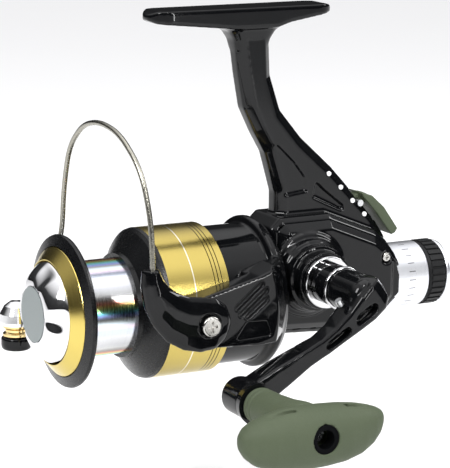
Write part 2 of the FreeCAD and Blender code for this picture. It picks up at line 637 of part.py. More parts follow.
def build_bail():
    near = new_body("bail_arm_near")
    slab(near, side_outline([
        (47.3, 20.2), (45.6, 13.7), (40.0, 10.6), (D.pivot_ahead, 9.5, -9.2),
        (D.pivot_ahead, -10.1), (43, -7.2), (50.8, -1.6), (54.4, 5.9), (55.4, 14), (54.4, 20.2)]),
        D.bail_inner, D.bail_outer)
    slab(near, side_outline([(47.6, 14), (54.6, 14), (53.6, 20.8), (48.0, 20.8)]), 33.2, D.bail_inner)
    rod(near, -D.pivot_ahead, D.pivot_rise, PIVOT_SCREW + GAP, 36, 42, cut=True)

    far = new_body("bail_arm_far")
    slab(far, side_outline([
        (72, -17.0), (64.5, -16.9), (D.pivot_ahead, 8.4), (D.pivot_ahead - 8, 0), (D.pivot_ahead, -9.0),
        (62, -20.8), (72, -21.6)]), -D.bail_outer, -D.bail_inner)
    rod(far, -D.roller_out, -D.roller_ahead, 5.6, D.roller_rise - 7.2, D.roller_rise - 2.2, "XY_Plane")
    rod(far, -D.pivot_ahead, D.pivot_rise, PIVOT_SCREW + GAP, -42, -36, cut=True)

    at = (-D.roller_out, D.roller_ahead, D.roller_rise)
    turned("line_roller", [
        (-1.9, 1.5 + GAP), (-1.9, 4.9), (-1.2, 4.9), (-0.4, 4.0), (0.4, 4.0), (1.2, 4.9), (1.9, 4.9),
        (1.9, 1.5 + GAP)], "upright", *at)
    turned("wire_cone", [
        (2.2, 0), (2.2, 6.1), (3.4, 6.3), (6.2, 6.0), (9.0, 4.4), (10.6, 2.2), (11.0, 0)],
        "upright", *at)
    tube("roller_axle", 0, 1.5, -2.2, 2.2, "upright", *at)

    route = [point(36.2, 50.6, 14.5), point(33.9, 50.2, 36.0), point(27.2, 50.8, 53.0),
             point(13.5, 52.4, 63.6), point(-1.5, 53.0, 65.6), point(-15.5, 52.9, 62.6),
             point(-28.0, 52.7, 53.0), point(-32.8, 52.8, 37.5), point(-33.6, 53.4, 19.0),
             point(-34.6, 58.5, 3.0), point(-35.8, 68.6, -5.5)]
    group("bail_wire", bent_wire(route, D.wire_radius.number))


def bent_wire(route, radius):
    """Round wire along straight runs joined by the largest tangent arcs that fit."""
    edges = []
    reached = route[0]
    for before, corner, after in zip(route, route[1:], route[2:]):
        into, out = (corner - before), (after - corner)
        turn = into.getAngle(out)
        step = min(into.Length, out.Length) * 0.45
        begin = corner - into.normalize() * step
        finish = corner + out.normalize() * step
        chord_middle = (begin + finish) * 0.5
        rise = step * math.tan(turn / 4) * math.cos(turn / 2)
        peak = chord_middle + (corner - chord_middle).normalize() * rise
        edges.append(Part.LineSegment(reached, begin).toShape())
        edges.append(Part.Arc(begin, peak, finish).toShape())
        reached = finish
    edges.append(Part.LineSegment(reached, route[-1]).toShape())
    path = Part.Wire(edges)
    section = Part.Wire([Part.makeCircle(radius, route[0], route[1] - route[0])])
    return path.makePipeShell([section], True, True)


# ---------------------------------------------------------------- spool and its shaft

def build_shaft():
    tube("main_shaft", 0, SHAFT, -56.0, 73.5)
    block = new_body("stroke_block")
    slab(block, side_outline([(-40, 3.1), (-40, -12.9), (-32, -12.9), (-32, 3.1)]), -5.2, 2.6)
    spin(block, [(-41, 0), (-41, SHAFT), (-31, SHAFT), (-31, 0)], cut=True)
    rod(block, 0, GUIDE_RISE, GUIDE_RADIUS + GAP, -42, -30, "XZ_Plane", cut=True)
    slab(block, side_outline([(-38, 0.5), (-38, -11.4), (-34, -11.4), (-34, 0.5)]), -5.3, -2.6, cut=True)
    tube("click_ratchet", SHAFT, 4.6, 33.6, 36.4)


def build_spool():
    band = D.arbor_radius - 0.8
    front = D.arbor_front + 2.5
    skirt_inner = D.skirt_radius - 1.2
    rear = D.skirt_front
    turned("spool_core", [
        (58, SHAFT + GAP), (58, 12.5), (front, 12.5), (front, band), (D.arbor_back, band),
        (D.arbor_back, 18.5), (D.arbor_back - 2, 18.5), (rear + 2.2, 25.6),
        (rear + 1.2, D.skirt_radius - 0.3), (rear, D.skirt_radius), (rear, D.skirt_radius - 0.5),
        (D.skirt_back, D.skirt_radius - 0.5), (D.skirt_back, skirt_inner), (rear - 1.2, skirt_inner),
        (D.arbor_back - 4.5, band - 1.2), (56, band - 1.2), (56, 6), (36.5, 6), (36.5, SHAFT + GAP)])
    tube("arbor_band", band, D.arbor_radius, D.arbor_back, D.arbor_front)
    tube("skirt_sleeve", D.skirt_radius - 0.5, D.skirt_radius, D.skirt_back, rear)
    lip = D.lip_radius
    turned("spool_lip", [
        (D.arbor_front, band), (D.arbor_front, lip - 1.0), (D.arbor_front + 0.5, lip - 0.25),
        (D.arbor_front + 1.3, lip), (D.arbor_front + 2.1, lip - 0.3), (D.arbor_front + 3.4, 23.0),
        (front, 22.9), (front, band)])
    turned("lip_bevel", [
        (front, band), (front, 22.9), (front + 1.2, 22.6), (front + 4.5, D.bevel_radius + 0.3),
        (front + 4.5, D.bevel_radius), (front + 1.3, D.bevel_radius), (front + 1.3, band)])
    washers = []
    for index in range(4):
        start = point(0, 59.1 + index * 2.0, 0)
        washer = Part.makeCylinder(12.0, 1.1, start, BACK)
        washers.append(washer.cut(Part.makeCylinder(2.3, 1.1, start, BACK)))
    group("drag_washers", Part.Compound(washers))

    turned("drag_knob", [
        (70.9, 6.2), (70.9, D.front_knob_radius - 0.4), (71.4, D.front_knob_radius),
        (73.4, D.front_knob_radius), (D.disc_face - 0.4, D.disc_radius + 0.7),
        (D.disc_face - 0.3, D.disc_radius + 0.05), (D.disc_face - 1.2, D.disc_radius + 0.05),
        (D.disc_face - 1.2, 0), (D.disc_face - 2.6, 0), (D.disc_face - 2.6, 6.2)])
    tube("drag_knob_disc", 0, D.disc_radius, D.disc_face - 1.2, D.disc_face)
    tube("drag_knob_nut", SHAFT + GAP, 6.2, 68.0, 76.6)


# ---------------------------------------------------------------- bait lever and rear knob

def build_rear_controls():
    lever = new_body("bait_lever")
    slab(lever, side_outline([
        (-49.1, 33.4), (-53.8, 32.0), (-59.0, 27.3), (-65.0, 18.8), (-63.9, 17.2),
        (-62.4, 16.6), (-55.8, 25.4), (-49.9, 32.0)]), -D.lever_half, D.lever_half)
    slab(lever, side_outline([
        (D.lever_ahead + 2.3, D.lever_rise + 1.0), (D.lever_ahead + 1.6, D.lever_rise - 2.2),
        (D.lever_ahead - 1.8, D.lever_rise - 2.2), (-52.0, 27.0), (-52.5, 31.0), (-49.4, 32.6)]),
        -2.2, 2.2)
    rod(lever, -D.lever_ahead, D.lever_rise, 1.2 + GAP, -3, 3, cut=True)

    low, high = D.rear_knob_back, D.ring_back - 0.35
    knob = turned("rear_drag_knob", [
        (low, 3.7), (low, 11.0), (low + 0.9, D.rear_knob_radius - 0.8),
        (low + 1.6, D.rear_knob_radius - 0.5), (high - 1.0, D.rear_knob_radius - 0.5),
        (high, D.rear_knob_radius - 1.1), (high, 3.7)])
    outer = DRIVING["rear_knob_radius"]
    rib = slab(knob, tooth_outline(outer - 0.8, outer, 0.93, 0.76, 0.0), low + 0.9, high - 1.0, "XZ_Plane")
    ring_of(knob, rib, "Y_Axis", 30)
    turned("rear_knob_cap", [
        (low, 3.7), (low, 11.5), (low - 0.6, 11.8), (low - 1.4, 11.6), (low - 2.4, 9.0), (low - 2.9, 0),
        (low + 1.8, 0), (low + 1.8, 3.7)])


def check_and_export():
    doc.recompute()
    faults = [item.Label for item in doc.Objects
              if any(word in ("Invalid", "Error") for word in item.State)]
    faults += [node.Label for node in nodes if node.Shape.isNull() or not node.Shape.isValid()]
    if faults:
        raise RuntimeError("failed: " + ", ".join(faults))
    os.makedirs("parts", exist_ok=True)
    for node in nodes:
        node.Shape.exportStep("parts/%s.step" % node.Label)
        print("%-20s solids %2d  volume %9.1f" % (node.Label, len(node.Shape.Solids), node.Shape.Volume))


build_body_frame()
build_side_cover()
build_frame_details()
build_rear_drag()
build_drive_train()
build_crank()
build_knob()
build_rotor()
build_bail()
build_shaft()
build_spool()
build_rear_controls()
check_and_export()
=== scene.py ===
"""Spinning reel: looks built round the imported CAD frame.

The piece builders work in millimetres: x across towards the handle, ahead towards the front
of the spool, and rise above the spool's axis.  spot() turns those into the frame's metres.
"""
import bpy
import bmesh
import json
import math
from mathutils import Matrix, Vector


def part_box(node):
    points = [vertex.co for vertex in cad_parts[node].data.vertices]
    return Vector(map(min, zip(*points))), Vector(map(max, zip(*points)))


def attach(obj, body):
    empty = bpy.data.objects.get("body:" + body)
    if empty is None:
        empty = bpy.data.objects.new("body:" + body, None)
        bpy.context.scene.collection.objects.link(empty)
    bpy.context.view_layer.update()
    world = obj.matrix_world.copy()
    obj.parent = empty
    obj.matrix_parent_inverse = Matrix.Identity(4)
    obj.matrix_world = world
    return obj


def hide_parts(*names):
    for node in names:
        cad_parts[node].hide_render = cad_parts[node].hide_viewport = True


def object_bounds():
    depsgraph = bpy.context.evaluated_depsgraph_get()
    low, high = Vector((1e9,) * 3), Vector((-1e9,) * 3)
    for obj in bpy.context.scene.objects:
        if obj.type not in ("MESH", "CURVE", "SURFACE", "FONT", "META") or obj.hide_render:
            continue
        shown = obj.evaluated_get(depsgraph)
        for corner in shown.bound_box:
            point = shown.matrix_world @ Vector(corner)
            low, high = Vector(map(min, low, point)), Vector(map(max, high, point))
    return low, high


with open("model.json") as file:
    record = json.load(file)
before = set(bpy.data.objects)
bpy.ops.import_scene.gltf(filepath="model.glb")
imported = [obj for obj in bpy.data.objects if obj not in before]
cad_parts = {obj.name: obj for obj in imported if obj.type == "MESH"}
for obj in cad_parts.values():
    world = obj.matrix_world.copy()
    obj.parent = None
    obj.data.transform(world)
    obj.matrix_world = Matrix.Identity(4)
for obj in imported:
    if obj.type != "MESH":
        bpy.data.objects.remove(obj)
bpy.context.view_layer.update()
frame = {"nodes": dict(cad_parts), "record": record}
NODES = frame["nodes"]
MM = 0.001


def centre_mm(node):
    """The middle of a node's box as (x, ahead, rise) in millimetres."""
    low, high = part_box(node)
    point = (low + high) / (2 * MM)
    return point.x, -point.y, point.z - AXIS_HEIGHT


AXIS_HEIGHT = sum(corner.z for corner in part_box("main_shaft")) / (2 * MM)
CRANK = centre_mm("handle_shaft")
KNOB = centre_mm("knob_spindle")
PIVOT = centre_mm("pivot_screws")
ROLLER = centre_mm("roller_axle")

ARM_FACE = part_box("rotor")[1].x / MM                # the rotor arms' outer face
BAIL_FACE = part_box("bail_arm_near")[1].x / MM       # the bail arms' outer face
BAIL_THICKNESS = 3.7
KNOB_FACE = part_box("knob")[1].x / MM
FOOT_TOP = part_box("body_frame")[1].z / MM - AXIS_HEIGHT
FOOT_REACH = -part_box("body_frame")[0].y / MM        # from the middle of the foot to its tip
FOOT_HALF_WIDTH = 7.5
GRIP_HALF_DEPTH = 9.2
SCREW_HOLE_RADIUS = 1.9                             # the bail pivot screws' clearance holes
THROUGH = 42.0                                      # an x beyond the rotor's and the bail's arms

# the floor lies this many metres under the reel, so that the turning crank and grip clear it
CRANK_SWING_ROOM = 0.045


def spot(x, ahead, rise):
    """A point of the reel in the frame's metres."""
    return Vector((x, -ahead, rise + AXIS_HEIGHT)) * MM


# ---------------------------------------------------------------- shader helpers

class Shader:
    """A node material whose Principled sockets are set by keyword."""

    def __init__(self, name, color, **sockets):
        self.material = bpy.data.materials.new(name)
        self.material.use_nodes = True
        self.tree = self.material.node_tree
        self.bsdf = self.tree.nodes["Principled BSDF"]
        self.bsdf.inputs["Base Color"].default_value = (*color, 1)
        for key, value in sockets.items():
            title = key.replace("_", " ").title().replace("Ior", "IOR")
            self.bsdf.inputs[title].default_value = value
        self.height = None

    def node(self, kind, **settings):
        item = self.tree.nodes.new(kind)
        for key, value in settings.items():
            setattr(item, key, value)
        return item

    def link(self, source, target):
        self.tree.links.new(source, target)

    def feed(self, socket, value):
        """Set a socket from a number or a colour, or link it to another node's output."""
        if isinstance(value, (int, float)):
            socket.default_value = value
        elif isinstance(value, tuple):
            socket.default_value = (*value, 1)
        else:
            self.link(value, socket)

    def coords(self, scale=(1, 1, 1)):
        """The surface point in the frame's metres, scaled."""
        texture = self.node("ShaderNodeTexCoord")
        mapping = self.node("ShaderNodeMapping")
        mapping.inputs["Scale"].default_value = scale
        self.link(texture.outputs["Object"], mapping.inputs["Vector"])
        return mapping.outputs["Vector"]

    def axes(self, vector):
        item = self.node("ShaderNodeSeparateXYZ")
        self.link(vector, item.inputs[0])
        return item.outputs

    def along_shaft(self):
        """Millimetres ahead along the spool's axis."""
        return self.math("MULTIPLY", self.axes(self.coords())[1], -1 / MM)

    def turn_about_shaft(self):
        """The angle about the spool's axis, from 0 to 1 for a whole turn."""
        x, _, z = self.axes(self.coords())
        angle = self.math("ARCTAN2", self.math("SUBTRACT", z, AXIS_HEIGHT * MM), x)
        return self.range(angle, -math.pi, math.pi)

    def noise(self, vector, scale, detail):
        item = self.node("ShaderNodeTexNoise")
        item.inputs["Scale"].default_value = scale
        item.inputs["Detail"].default_value = detail
        self.link(vector, item.inputs["Vector"])
        return item.outputs["Fac"]

    def math(self, kind, a, b=0.0):
        """One arithmetic step; a step with a single input leaves out b."""
        item = self.node("ShaderNodeMath", operation=kind)
        self.feed(item.inputs[0], a)
        self.feed(item.inputs[1], b)
        return item.outputs[0]

    def ramp(self, factor, stops):
        item = self.node("ShaderNodeValToRGB")
        elements = item.color_ramp.elements
        while len(elements) < len(stops):
            elements.new(0.5)
        for element, (position, color) in zip(elements, stops):
            element.position = position
            element.color = (*color, 1)
        self.link(factor, item.inputs["Fac"])
        return item.outputs["Color"]

    def mix(self, factor, a, b):
        item = self.node("ShaderNodeMix", data_type="RGBA")
        self.feed(item.inputs[0], factor)
        self.feed(item.inputs[6], a)
        self.feed(item.inputs[7], b)
        return item.outputs[2]

    def range(self, value, low, high, new_low=0.0, new_high=1.0):
        item = self.node("ShaderNodeMapRange")
        for socket, number in zip(item.inputs[1:5], (low, high, new_low, new_high)):
            socket.default_value = number
        self.link(value, item.inputs[0])
        return item.outputs[0]

    def bands(self, value, bands):
        """1 inside any of the (from, to) bands of a value and 0 outside them."""
        total = None
        for low, high in bands:
            inside = self.math("MULTIPLY", self.math("GREATER_THAN", value, low),
                               self.math("LESS_THAN", value, high))
            total = inside if total is None else self.math("ADD", total, inside)
        return total

    def bump(self, height, distance, strength):
        """Add a bump, its depth in metres, on top of any bump made before it."""
        item = self.node("ShaderNodeBump")
        item.inputs["Strength"].default_value = strength
        item.inputs["Distance"].default_value = distance
        self.link(height, item.inputs["Height"])
        if self.height is not None:
            self.link(self.height, item.inputs["Normal"])
        self.height = item.outputs["Normal"]
        self.link(self.height, self.bsdf.inputs["Normal"])

    def rough(self, value):
        self.link(value, self.bsdf.inputs["Roughness"])

    def color(self, value):
        self.link(value, self.bsdf.inputs["Base Color"])


# ---------------------------------------------------------------- materials

TURNING_RINGS = 9000.0          # noise scale of the tool marks that a lathe leaves
MARKS_PER_TURN = 24             # of the rear drag ring's scale
# how often the painted highlight and painted rainbow sheen streaks repeat round the arbor band
STREAKS_PER_TURN = 5            # of the arbor band's film


def painted_black(name, low, high, specular, grain):
    """Black lacquer or moulded black plastic; the two roughnesses are its smooth and worn ends."""
    s = Shader(name, (0.003, 0.0032, 0.0038), specular_ior_level=specular)
    place = s.coords()
    s.color(s.mix(s.noise(place, 150, 3), (0.0016, 0.0018, 0.0022), (0.0034, 0.0036, 0.0042)))
    s.rough(s.range(s.noise(place, 900, 4), 0.3, 0.8, low, high))
    s.bump(s.noise(place, grain, 3), 0.00002, 0.2)
    return s.material


def turned(name, color, low, high):
    """Metal turned on a lathe about the spool's axis: fine rings that vary only along Y.

    This one returns the Shader, so that marks can be added to it.
    """
    s = Shader(name, color, metallic=1.0)
    rings = s.noise(s.coords((0, 1, 0)), TURNING_RINGS, 2)
    s.rough(s.range(rings, 0.3, 0.7, low, high))
    s.bump(rings, 0.000006, 0.3)
    return s


def gold_anodised():
    """Gold skirt with the fine ring marks of the real one: one pale line and three dark ones."""
    s = turned("gold_anodised", (0.56, 0.44, 0.13), 0.15, 0.28)
    along = s.along_shaft()
    gold = s.mix(s.noise(s.coords((1, 0.1, 1)), 60, 2), (0.60, 0.475, 0.14), (0.50, 0.39, 0.105))
    pale_line, dark_lines, dark_width = (28.6, 29.0), (18.0, 19.4, 20.8), 0.34
    pale = s.bands(along, [pale_line])
    dark = s.bands(along, [(start, start + dark_width) for start in dark_lines])
    s.color(s.mix(dark, s.mix(pale, gold, (0.90, 0.86, 0.74)), (0.035, 0.028, 0.012)))
    return s.material


def prism_film():
    """Silver film in its own grey-silver, with painted highlight, painted dark reflection and painted rainbow
    sheen streaks that run along the spool and repeat round it.
    """
    s = turned("prism_film", (0.75, 0.77, 0.80), 0.16, 0.3)
    across = s.math("FRACT", s.math("MULTIPLY", s.turn_about_shaft(), STREAKS_PER_TURN))
    wander = s.math("MULTIPLY", s.noise(s.coords((1, 0.02, 1)), 500, 2), 0.05)
    # the pale stops are painted highlights, the dark grey stops painted dark reflections and the coloured
    # stops painted rainbow sheen, over the film's own grey-silver
    streaks = [
        (0.0, (0.66, 0.67, 0.70)), (0.18, (0.80, 0.81, 0.84)), (0.30, (0.60, 0.66, 0.80)),
        (0.36, (0.80, 0.66, 0.78)), (0.42, (0.70, 0.80, 0.86)), (0.50, (0.30, 0.30, 0.31)),
        (0.56, (0.25, 0.30, 0.62)), (0.61, (0.16, 0.55, 0.62)), (0.66, (0.35, 0.66, 0.26)),
        (0.71, (0.80, 0.66, 0.22)), (0.76, (0.74, 0.28, 0.20)), (0.83, (0.40, 0.38, 0.37)),
        (0.92, (0.70, 0.71, 0.72)), (1.0, (0.66, 0.67, 0.70))]
    s.color(s.ramp(s.math("ADD", across, wander), streaks))
    return s.material


def plated(name, color, low, high):
    """Plated or bare metal, a little uneven; low and high are its two roughnesses."""
    s = Shader(name, color, metallic=1.0)
    place = s.coords()
    s.rough(s.range(s.noise(place, 700, 4), 0.3, 0.75, low, high))
    s.bump(s.noise(place, 260, 2), 0.00001, 0.12)
    return s.material


def scale_ring():
    """Brushed silver ring with a generic scale: a row of short engraved lines."""
    s = turned("satin_silver", (0.70, 0.71, 0.74), 0.26, 0.42)
    along = s.along_shaft()
    step = s.math("FRACT", s.math("MULTIPLY", s.turn_about_shaft(), MARKS_PER_TURN))
    mark_width, mark_ends = 0.10, (-69.5, -66.8)
    mark = s.math("MULTIPLY", s.math("LESS_THAN", step, mark_width), s.bands(along, [mark_ends]))
    silver = s.mix(s.noise(s.coords(), 500, 3), (0.66, 0.67, 0.70), (0.74, 0.75, 0.78))
    s.color(s.mix(mark, silver, (0.10, 0.10, 0.11)))
    s.bump(mark, 0.00006, -0.6)
    return s.material


def olive(name, low, high, grain):
    """Olive rubber or plastic with a fine moulded grain."""
    s = Shader(name, (0.06, 0.075, 0.042), specular_ior_level=0.25)
    place = s.coords()
    s.color(s.mix(s.noise(place, 70, 3), (0.052, 0.066, 0.038), (0.063, 0.079, 0.046)))
    s.rough(s.range(s.noise(place, 1800, 3), 0.3, 0.7, low, high))
    s.bump(s.noise(place, grain, 4), 0.00003, 0.35)
    return s.material


def white_enamel():
    s = Shader("white_enamel", (0.8, 0.8, 0.8), roughness=0.35)
    s.color(s.mix(s.noise(s.coords(), 900, 3), (0.78, 0.79, 0.79), (0.88, 0.88, 0.88)))
    return s.material


MATERIALS = {
    "gloss_black": painted_black("gloss_black", 0.05, 0.11, 0.24, 420),
    "black_metal": painted_black("black_metal", 0.07, 0.14, 0.24, 420),
    "satin_black": painted_black("satin_black", 0.24, 0.34, 0.26, 2600),
    "matte_black": painted_black("matte_black", 0.45, 0.6, 0.25, 1800),
    "dark_plastic": painted_black("dark_plastic", 0.55, 0.65, 0.03, 2200),
    "satin_silver": scale_ring(),
    "gold_anodised": gold_anodised(),
    "prism_film": prism_film(),
    "chrome_plate": plated("chrome_plate", (0.72, 0.72, 0.73), 0.04, 0.12),
    "bright_ring": plated("bright_ring", (0.58, 0.58, 0.59), 0.06, 0.14),
    "grey_disc": turned("grey_disc", (0.27, 0.30, 0.30), 0.34, 0.48).material,
    "plated_screw": plated("plated_screw", (0.42, 0.41, 0.39), 0.16, 0.30),
    "bearing_steel": plated("bearing_steel", (0.5, 0.51, 0.52), 0.2, 0.35),
    "wire_steel": plated("wire_steel", (0.30, 0.29, 0.25), 0.22, 0.34),
    "zinc_gear": plated("zinc_gear", (0.45, 0.45, 0.46), 0.35, 0.5),
    "brass_gear": plated("brass_gear", (0.72, 0.55, 0.26), 0.12, 0.25),
    "olive_rubber": olive("olive_rubber", 0.55, 0.72, 1500),
    "olive_plastic": olive("olive_plastic", 0.42, 0.55, 2200),
    "white_enamel": white_enamel(),
}
SLOTS = {entry["node"]: entry["material_slot"] for entry in frame["record"]["subparts"]}


def finish_cad_nodes():
    """Every CAD node that stays gets its slot's material."""
    for name, item in NODES.items():
        item.data.materials.clear()
        item.data.materials.append(MATERIALS[SLOTS[name]])


# ---------------------------------------------------------------- forms

def block(outline, low, high):
    """A closed block: (ahead, rise) corners carried across the reel from one x to another."""
    form = bmesh.new()
    sides = [[form.verts.new(spot(x, *corner)) for corner in outline] for x in (low, high)]
    bridge(form, sides)
    return form


def bridge(form, rings):
    """Skin a row of loops that have the same number of points, and close both ends."""
    count = len(rings[0])
    for here, there in zip(rings, rings[1:]):
        for index in range(count):
            other = (index + 1) % count
            form.faces.new((here[index], here[other], there[other], there[index]))
    form.faces.new(rings[0])
    form.faces.new(rings[-1])
    bmesh.ops.recalc_face_normals(form, faces=form.faces)


def loft(loops):
    """A closed form through loops of (x, ahead, rise) points."""
    form = bmesh.new()
    bridge(form, [[form.verts.new(spot(*point)) for point in loop] for loop in loops])
    return form


# each turning axis and the two directions square to it, as (x, ahead, rise)
AXES = {"ahead": ((0, 1, 0), (1, 0, 0), (0, 0, 1)),
        "across": ((1, 0, 0), (0, 1, 0), (0, 0, 1)),
        "upright": ((0, 0, 1), (1, 0, 0), (0, 1, 0))}


def turn(profile, centre=(0, 0, 0), axis="ahead", steps=96, shape=None):
    """A closed turned form from (along, radius) points; shape(along, radius, angle) may bend it.

    A profile that starts and ends on the axis is closed there, and any other is a ring.
    """
    along_axis, first, second = (Vector(v) for v in AXES[axis])
    form = bmesh.new()
    rings = []
    for along, radius in profile:
        ring = []
        for step in range(1 if radius == 0 else steps):
            angle = 2 * math.pi * step / steps
            reach = shape(along, radius, angle) if shape else radius
            point = (Vector(centre) + along_axis * along
                     + (first * math.cos(angle) + second * math.sin(angle)) * reach)
            ring.append(form.verts.new(spot(*point)))
        rings.append(ring)
    if len(rings[0]) > 1:
        rings.append(rings[0])
    for here, there in zip(rings, rings[1:]):
        for step in range(steps):
            after = (step + 1) % steps
            corners = [here[step % len(here)], here[after % len(here)],
                       there[after % len(there)], there[step % len(there)]]
            corners = [v for i, v in enumerate(corners) if v not in corners[:i]]
            form.faces.new(corners)
    bmesh.ops.recalc_face_normals(form, faces=form.faces)
    return form


def rod(start, end, radius, centre, axis, steps):
    """A round bar along an axis through a centre, from one distance along it to another."""
    return turn([(start, 0), (start, radius), (end, radius), (end, 0)], centre, axis, steps)


def rounded(points, radius):
    """Round the inner corners of an open row of 2-D points, ends kept."""
    steps = 4
    most = 0.45         # the share of an edge that one corner may take
    out = [points[0]]
    for before, corner, after in zip(points, points[1:], points[2:]):
        corner = Vector(corner)
        into = corner - Vector(before)
        away = Vector(after) - corner
        reach = min(radius, into.length * most, away.length * most)
        start = corner - into.normalized() * reach
        end = corner + away.normalized() * reach
        for step in range(steps + 1):
            t = step / steps
            out.append(tuple(start * (1 - t) ** 2 + corner * (2 * t * (1 - t)) + end * t ** 2))
    out.append(points[-1])
    return out


def smooth_loop(points, steps):
    """A closed smooth curve through a few 2-D points."""
    out = []
    count = len(points)
    for index in range(count):
        p0, p1, p2, p3 = (Vector(points[(index + k - 1) % count]) for k in range(4))
        for step in range(steps):
            t = step / steps
            bend = 2 * p0 - 5 * p1 + 4 * p2 - p3
            twist = 3 * p1 - p0 - 3 * p2 + p3
            out.append(tuple(0.5 * (2 * p1 + (p2 - p0) * t + bend * t ** 2 + twist * t ** 3)))
    return out


def oval(half_width, half_height, power, count):
    """Points of a rounded box between an ellipse (power 2) and a square (higher powers)."""
    points = []
    for index in range(count):
        angle = 2 * math.pi * index / count
        c, s = math.cos(angle), math.sin(angle)
        points.append((half_width * math.copysign(abs(c) ** (2 / power), c),
                       half_height * math.copysign(abs(s) ** (2 / power), s)))
    return points


def node_form(name):
    """A copy of a CAD node's mesh to build on, its doubled corners welded."""
    weld_distance = 0.00001
    form = bmesh.new()
    form.from_mesh(NODES[name].data)
    bmesh.ops.remove_doubles(form, verts=form.verts, dist=weld_distance)
    return form


# ---------------------------------------------------------------- pieces

def make_object(name, forms):
    """One object that holds every form."""
    mesh = bpy.data.meshes.new(name)
    joined = bmesh.new()
    for form in forms:
        form.to_mesh(mesh)
        form.free()
        joined.from_mesh(mesh)
    joined.to_mesh(mesh)
    joined.free()
    item = bpy.data.objects.new(name, mesh)
    bpy.context.scene.collection.objects.link(item)
    return item


def bake(item):
    """Replace an object's mesh by what its modifiers make of it."""
    graph = bpy.context.evaluated_depsgraph_get()
    mesh = bpy.data.meshes.new_from_object(item.evaluated_get(graph))
    item.modifiers.clear()
    item.data = mesh


def clay(name, add, cut, voxel, soft, keep):
    """Melt overlapping closed forms into one skin, carve others out and soften every edge.

    The voxel size is in millimetres, soft is the rounds of smoothing, and keep is the share of
    faces left at the end.
    """
    item = make_object(name, add)
    remesh = item.modifiers.new("melt", "REMESH")
    remesh.voxel_size = voxel * MM
    bake(item)
    for form in cut:
        tool = make_object("cutter", [form])
        carve = item.modifiers.new("carve", "BOOLEAN")
        carve.operation = "DIFFERENCE"
        carve.solver = "MANIFOLD"
        carve.object = tool
        bake(item)
        bpy.data.objects.remove(tool)
    if cut:
        remesh = item.modifiers.new("melt", "REMESH")
        remesh.voxel_size = voxel * MM
    smooth = item.modifiers.new("soften", "SMOOTH")
    smooth.factor = 0.5
    smooth.iterations = soft
    thin = item.modifiers.new("thin", "DECIMATE")
    thin.ratio = keep
    bake(item)
    return item


def settle(item, slot, body, node, sharp=None):
    """Give a piece its finish, its body and the CAD node that it stands for."""
    for face in item.data.polygons:
        face.use_smooth = True
    if sharp:
        item.data.set_sharp_from_angle(angle=math.radians(sharp))
    item.data.materials.clear()
    item.data.materials.append(MATERIALS[slot])
    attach(item, body)
    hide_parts(node)


def build_body():
    """Stem, fin, housing and foot as one casting, with its sunk panels."""
    stem_panel = [(-8.0, 54.4), (-13.9, 53.7), (-20.8, 46.9), (-25.2, 41.2), (-26.2, 35.8),
                  (-15.6, 34.6), (-14.0, 41.0), (-11.0, 49.0)]
    fin_panel = [(-28.6, 33.4), (-41.0, 27.4), (-41.6, 29.4), (-33.8, 35.6), (-29.8, 39.2)]
    outside = 7.0
    cut = []
    for side in (1, -1):
        for outline, floor in ((stem_panel, 5.0), (fin_panel, 4.4)):
            cut.append(block(outline, *sorted((floor * side, outside * side))))
    for end in (1, -1):
        for side in (1, -1):
            cut.append(foot_corner(side, end))
    # the housing swells towards the rear ring
    swell = block([(-50, 13.8), (-57.4, 13.2), (-62.4, 8.2), (-64.2, 2.2), (-63.9, -4.6), (-57.0, -10.2),
                   (-49, -12.4)], 2.0, 10.6)
    # the stem flares into the foot: rise, then half width and half length
    stem_middle = -4.3
    flare = loft([[(x * width, stem_middle + along * length, rise) for x, along in oval(1, 1, 4.0, 32)]
                  for rise, width, length in ((88, 4.4, 6.4), (92, 5.4, 7.4), (95, 6.2, 9.4), (97, 7.0, 13))])
    body = clay("casting", [node_form("body_frame"), swell, flare], cut, voxel=0.42, soft=9, keep=0.5)
    settle(body, "gloss_black", "frame", "body_frame")


def foot_corner(side, end):
    """What is cut from a corner of the foot to give it a rounded end."""
    straight = FOOT_REACH - FOOT_HALF_WIDTH
    beyond = 1
    corner = [(FOOT_HALF_WIDTH + beyond, FOOT_REACH + beyond), (FOOT_HALF_WIDTH + beyond, straight)]
    steps = 8
    for step in range(steps + 1):
        angle = math.radians(90 * step / steps)
        corner.append((FOOT_HALF_WIDTH * math.cos(angle), straight + FOOT_HALF_WIDTH * math.sin(angle)))
    corner.append((0, FOOT_REACH + beyond))
    bottom, top = FOOT_TOP - 9, FOOT_TOP + beyond
    return loft([[(side * x, end * ahead, rise) for x, ahead in corner] for rise in (bottom, top)])


def build_cover():
    """The screwed-on cover, with the stepped round boss for the handle."""
    # the boss's steps, as x and radius
    steps = [(11.5, 0), (11.5, 15.6), (14.4, 15.6), (15.4, 14.9), (15.8, 13.6), (18.0, 13.2),
             (18.8, 12.4), (19.2, 11.5), (21.6, 11.2), (22.4, 10.6), (22.8, 9.9), (26.9, 9.7), (26.9, 0)]
    centre = (0, *CRANK[1:])
    boss = turn(rounded(steps, 0.5), centre, "across")
    bore_radius = 4.2
    bore = rod(8, 30, bore_radius, centre, "across", 48)
    swell = block([(-50, 13.0), (-56.6, 12.4), (-60.6, 7.6), (-62.2, 2.4), (-62.0, -4.0), (-55.2, -9.6),
                   (-48, -11.6)], 11.2, 12.4)
    cover = clay("side_cover_shell", [node_form("side_cover"), boss, swell], [bore],
                 voxel=0.36, soft=5, keep=0.6)
    settle(cover, "gloss_black", "frame", "side_cover")


